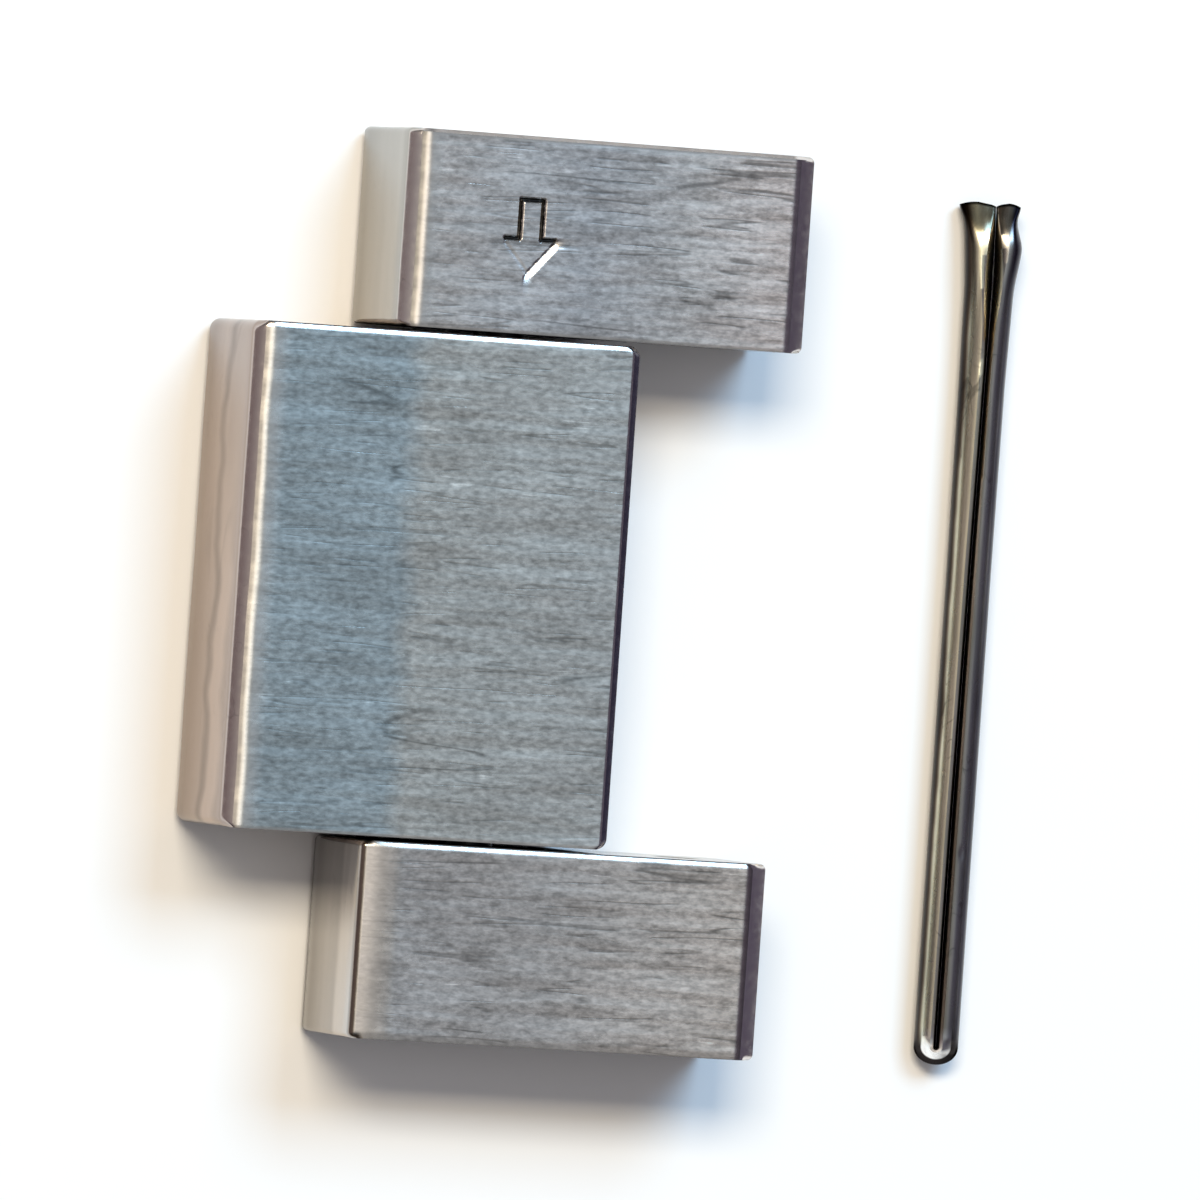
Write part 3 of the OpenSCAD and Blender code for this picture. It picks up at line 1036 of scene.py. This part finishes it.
def forge(co, middle_x, height, free_end, fold_y, radius):
    """Gives the plain wire its real form: bowed legs, soft inner edges, spread chisel tips and a nick.

    The pin lies rolled a little to the west. Also gives the values that its finish follows.
    """
    back = np.clip(free_end - co[:, 1], 0, free_end - fold_y)
    z = co[:, 2] - height
    middle, half = middle_x + along(SLIT_MIDDLE, back), along(SLIT_HALF, back)
    dx, dy = co[:, 0] - middle, np.minimum(co[:, 1] - fold_y, 0)
    plain_out = np.hypot(dx, dy)
    way = np.stack([dx, dy], 1) / np.maximum(plain_out, 1e-6)[:, None]
    reach = wire_reach(way, middle - middle_x, back)
    open_share = (z - GROOVE_FLOOR) / (GROOVE_OPEN - GROOVE_FLOOR)
    slit = half * np.clip(open_share, GROOVE_SHUT, 1)
    depth = np.clip((plain_out - half) / WIRE_DEPTH, 0, 1) ** along(SQUARENESS, back)
    fall = 1 - np.sqrt(np.clip(1 - (z / (radius * INNER_CROWN)) ** 2, 0, 1))
    out = np.maximum(slit + depth * (reach - slit), slit + along(INNER_ROUND, back) * fall)
    # Mask of the painted shade in the slit.
    groove = np.clip(1 - (out - slit) / np.where(dx < 0, *GROOVE_EDGE), 0, 1)
    groove *= np.clip((GROOVE_TOP * radius - z) / GROOVE_FADE, 0, 1)

    high, gap = chisel(np.abs(z), back, radius)
    z = np.sign(z) * slope_fold(high, out - half, co[:, 1] - fold_y, radius)
    under = np.clip(-z / UNDER_FADE, 0, 1)
    x, y = middle + way[:, 0] * out, co[:, 1] + way[:, 1] * (out - plain_out) * (dy < 0)
    z -= np.where(z > 0, nick(x - middle_x, free_end - y), 0)
    leg_half = (reach - half) / 2
    arch = ((np.abs(x - middle) - half - leg_half) / leg_half) ** 2
    y = y - TIP_ARCH * arch * np.clip(1 - back / TIP_ARCH_LEN, 0, 1)
    # Painted shade on the chisel facets.
    facet_shade = np.clip(CHISEL_SHADE - gap * CHISEL_SHADE_GAIN, 0, 1)
    finish = {
        "out": np.clip(out / reach, 0, 1),
        "east": np.clip(way[:, 0] / 2 + 0.5, 0, 1),
        "bend": np.clip(1 - (co[:, 1] - fold_y) / FOLD_ARMS, 0, 1),
        "groove": groove,
        "under": under,
        "tip": np.where(back < CHISEL_LEN, facet_shade, 0) + np.clip(1 - back / TIP_END_SHADE, 0, 1),
    }
    return roll(x - middle_x, y, z, middle_x, height), finish


def roll(across, y, z, middle_x, height):
    """Points of the pin, rolled about its own axis and kept above the table."""
    cos, sin = math.cos(PIN_ROLL), math.sin(PIN_ROLL)
    rolled_z = np.maximum(height + across * sin + z * cos, 0)
    return np.stack([middle_x + across * cos - z * sin, y, rolled_z], 1)


def make_split_pin(name, node, steel):
    """The split pin, swept from its section and then forged."""
    low, high = node_box(node)
    (middle_x, _, height), radius = round_mount("split_pin_shank")
    free_end, fold_y = high[1], low[1] + FOLD_REACH
    path = line_of("hairpin", hairpin(middle_x, height, free_end, fold_y), False)
    section = line_of("wire_section", wire_section(radius), True)
    mesh = swept_mesh(name, path, section, steel)
    co = np.array([v.co for v in mesh.vertices]) / MM
    formed, finish = forge(co, middle_x, height, free_end, fold_y, radius)
    mesh.vertices.foreach_set("co", (formed * MM).astype(np.float32).ravel())
    for value_name, values in finish.items():
        point_values(mesh, value_name, values)
    turned = bmesh.new()
    turned.from_mesh(mesh)
    bmesh.ops.remove_doubles(turned, verts=turned.verts, dist=1e-7)
    bmesh.ops.recalc_face_normals(turned, faces=turned.faces)
    for face in turned.faces:
        face.smooth = True
    turned.to_mesh(mesh)
    turned.free()
    mesh.set_sharp_from_angle(angle=PIN_SHARP_ANGLE)
    made = bpy.data.objects.new(name, mesh)
    bpy.context.scene.collection.objects.link(made)
    return made


# Floor, world and lamps

def make_floor():
    """A wide pale table under everything."""
    corners = [(x * TABLE_REACH, y * TABLE_REACH, 0) for x, y in ((-1, -1), (1, -1), (1, 1), (-1, 1))]
    mesh = bpy.data.meshes.new("floor")
    mesh.from_pydata(corners, [], [(0, 1, 2, 3)])
    floor = bpy.data.objects.new("floor", mesh)
    bpy.context.scene.collection.objects.link(floor)
    f = Finish("floor_paper")
    f.set(Base_Color=(0.9, 0.9, 0.9, 1), Roughness=1.0, Specular_IOR_Level=0.0)
    mesh.materials.append(f.material)


def make_world():
    """A dim room: brown to the west, pale overhead and dark to the east, with a pale band far off."""
    world = bpy.data.worlds.new("studio")
    bpy.context.scene.world = world
    world.use_nodes = True
    sky = Nodes(world.node_tree, "Background", "Generated")
    x, y, z = (sky.axis(name, 1) for name in "XYZ")
    room = sky.ramp(sky.spread(x, -1.0, 1.0), (
        (0.0, (134, 122, 124)), (0.1, (152, 144, 146)), (0.2, (166, 160, 160)), (0.3, (170, 165, 160)),
        (0.42, (158, 154, 150)), (0.55, (160, 164, 170)), (0.675, (172, 176, 182)),
        (0.75, (158, 160, 170)), (0.82, (94, 88, 106)), (1.0, (88, 82, 98)),
    ))
    south = sky.spread(y, -0.6, -0.3, 0.3, 1.0, smooth=True)
    north = sky.spread(y, 0.4, 0.7, 1.0, 0.4, smooth=True)
    glow = sky.times(
        sky.spread(sky.size(sky.plus(x, 0.13)), 0.0, 0.2, 4.2, 0.0, smooth=True),
        sky.spread(sky.size(y), 0.12, 0.3, 1.0, 0.0, smooth=True),
    )
    level = sky.plus(sky.times(south, north), glow)
    horizon = sky.spread(z, 0.05, 0.09, 1.0, 0.0, smooth=True)
    sky.set(Color=sky.blend(horizon, sky.shade(room, level), linear((243, 243, 243))))


def overhead_lamp(name, east, north, radiance, colour):
    """A soft box that hangs level over the table.

    East and north give the angles that it spans, measured from straight up.
    """
    x_low, x_high, y_low, y_high = (LAMP_HEIGHT * math.tan(math.radians(t)) for t in (*east, *north))
    data = bpy.data.lights.new(name, "AREA")
    data.shape = "RECTANGLE"
    data.size, data.size_y = x_high - x_low, y_high - y_low
    data.energy = radiance * math.pi * data.size * data.size_y
    data.color = colour
    lamp = bpy.data.objects.new(name, data)
    lamp.location = ((x_low + x_high) / 2, (y_low + y_high) / 2, LAMP_HEIGHT)
    bpy.context.scene.collection.objects.link(lamp)


def make_lamps():
    """A warm lamp to the north-west and a bluish window to the north-east."""
    overhead_lamp("key_lamp", east=(-34, -6), north=(18, 34), radiance=20.0, colour=(1.0, 0.88, 0.69))
    overhead_lamp("window", east=(4, 34), north=(24, 48), radiance=11.0, colour=(0.46, 0.72, 1.0))


# The object

def finish_piece(piece, body, slot, *nodes):
    """Puts a piece on its body, in place of its nodes. The slot argument is not used."""
    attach(piece, body)
    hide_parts(*nodes)


bpy.context.scene.view_settings.view_transform = "Standard"
make_camera()
make_floor()
make_world()
make_lamps()

bore_steel = drilled_steel("bore_steel", seed=31)
north_low, north_high = node_box("outer_link_north")
south_low, south_high = node_box("outer_link_south")
centre_low, centre_high = node_box("centre_link")
arrow_place = (PIVOT[0] + MARK_PLACE[0], (north_low[1] + north_high[1]) / 2 + MARK_PLACE[1])

north_steel = brushed_steel(
    "north_brushed_steel",
    stops=(
        (0.0, (205, 195, 185)), (0.45, (190, 186, 182)), (0.7, (205, 196, 187)), (1.0, (232, 212, 198)),
    ),
    edge=(198, 195, 188), ends=(north_low[0], north_high[0]), grain=(0.16, 0.4), seed=3)
south_steel = brushed_steel(
    "south_brushed_steel",
    stops=((0.0, (188, 181, 174)), (0.45, (195, 186, 177)), (1.0, (220, 204, 188))),
    edge=(160, 155, 148), ends=(south_low[0], south_high[0]), grain=(0.2, 0.36), seed=11)
centre_steel = brushed_steel(
    "centre_brushed_steel",
    stops=(
        # The bluish left part of these tones is painted reflection.
        (0.0, (169, 177, 176)), (0.4, (171, 179, 178)), (0.46, (192, 189, 180)), (1.0, (195, 192, 184)),
    ),
    edge=(230, 222, 212), ends=(centre_low[0], centre_high[0]), grain=(0.14, 0.24), seed=19)
# The faces' colours, darker and warmer than the edges', paint the shaded table that the end faces reflect.
north_edge = polished_steel(
    "north_polished_steel", face=(176, 172, 165), edge=(224, 217, 212), seed=5)
south_edge = polished_steel(
    "south_polished_steel", face=(179, 174, 169), edge=(228, 221, 216), seed=13, left=south_low[0])
centre_edge = polished_steel(
    "centre_polished_steel", face=(172, 156, 146), edge=(208, 196, 190), seed=23,
    reflection_line_height=1.75, right=centre_high[0])

north = outer_piece(
    "outer_link_north_finished", "outer_link_north", inner_side=-1,
    materials=(north_steel, north_edge, bore_steel),
    left=NORTH_LEFT_EDGE, longs=(SLIGHT_EDGE, CRISP_EDGE), mark=arrow_place)
finish_piece(north, "outer_pair", "outer_link_steel", "outer_link_north")

south = outer_piece(
    "outer_link_south_finished", "outer_link_south", inner_side=1,
    materials=(south_steel, south_edge, bore_steel),
    left=SOUTH_LEFT_EDGE, longs=(SOFT_EDGE, BROAD_EDGE))
finish_piece(south, "outer_pair", "outer_link_steel", "outer_link_south")

centre = centre_piece("centre_link_finished", "centre_link", (centre_steel, centre_edge, bore_steel))
finish_piece(centre, "centre_link", "centre_link_steel", "centre_link")

pivot = frame["nodes"]["pivot_pin"]
pivot.data.materials.clear()
pivot.data.materials.append(ground_steel("pivot_steel", seed=41))

split_pin = make_split_pin("split_pin_finished", "split_pin", wire_steel("split_pin_wire", seed=47))
finish_piece(split_pin, "split_pin", "split_pin_steel", "split_pin")
